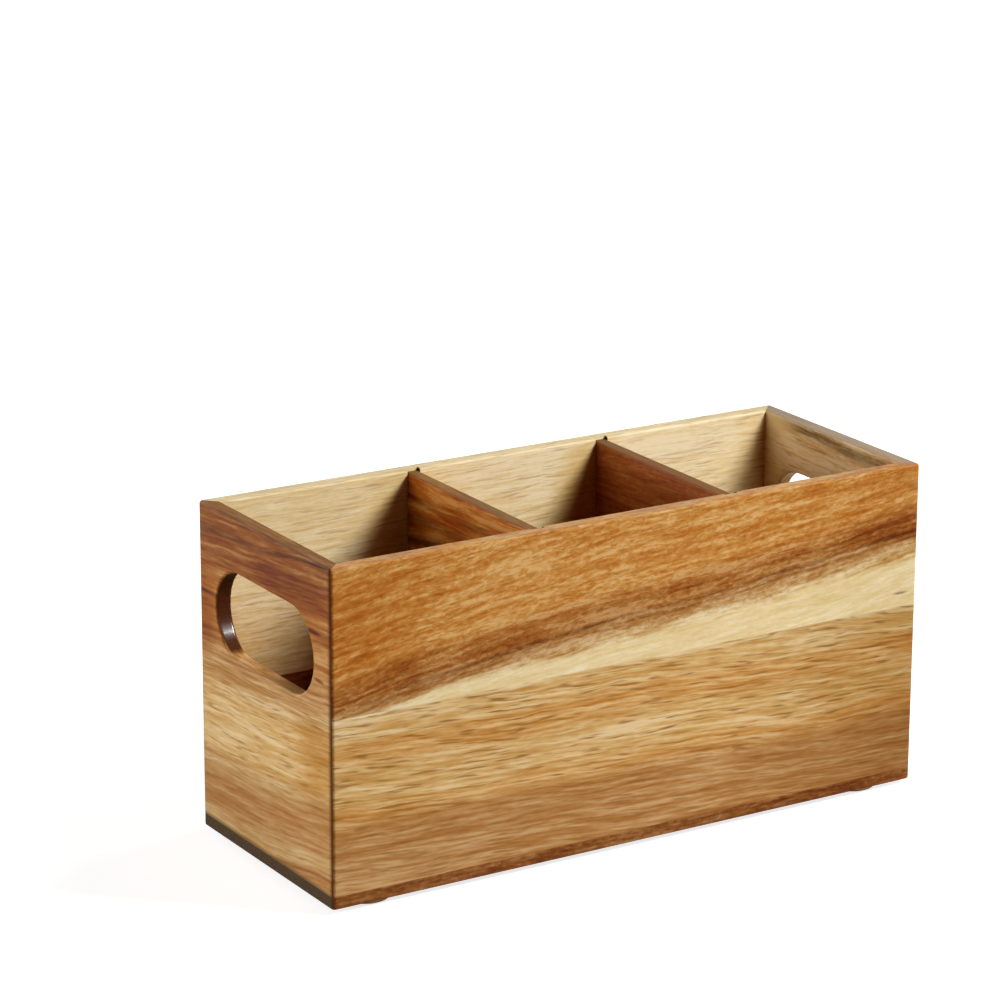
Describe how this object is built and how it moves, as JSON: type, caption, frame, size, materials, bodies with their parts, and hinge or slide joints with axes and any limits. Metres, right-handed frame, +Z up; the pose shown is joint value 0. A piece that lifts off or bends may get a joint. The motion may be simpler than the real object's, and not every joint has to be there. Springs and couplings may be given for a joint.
{
  "type": "utensil caddy",
  "caption": "Open-topped rectangular wooden caddy for kitchen utensils, with upright dividers, mitred corners, a hand hole through each end and foot pads under the base board.",
  "frame": {"origin": "centre of the footprint, on the surface the foot pads stand on", "axes": "+X along the length towards the right end, +Y from the front board to the back board, +Z up"},
  "size_m": [0.26, 0.1, 0.131],
  "materials": {
    "acacia_front": "satin oiled acacia",
    "acacia_back": "satin oiled acacia",
    "acacia_left_end": "satin oiled acacia",
    "acacia_right_end": "satin oiled acacia",
    "acacia_base": "satin oiled acacia",
    "acacia_left_divider": "satin oiled acacia",
    "acacia_right_divider": "satin oiled acacia",
    "beech_spline": "planed beech",
    "rubber_pad": "moulded rubber",
    "brad_steel": "bright steel"
  },
  "bodies": {
    "root": {"front_panel": "acacia_front", "back_panel": "acacia_back", "left_end_panel": "acacia_left_end", "right_end_panel": "acacia_right_end", "base_panel": "acacia_base", "left_divider": "acacia_left_divider", "right_divider": "acacia_right_divider", "front_left_spline": "beech_spline", "front_left_foot_pad": "rubber_pad", "front_right_spline": "beech_spline", "front_right_foot_pad": "rubber_pad", "back_left_spline": "beech_spline", "back_left_foot_pad": "rubber_pad", "back_right_spline": "beech_spline", "back_right_foot_pad": "rubber_pad", "base_brads": "brad_steel"}
  },
  "joints": []
}
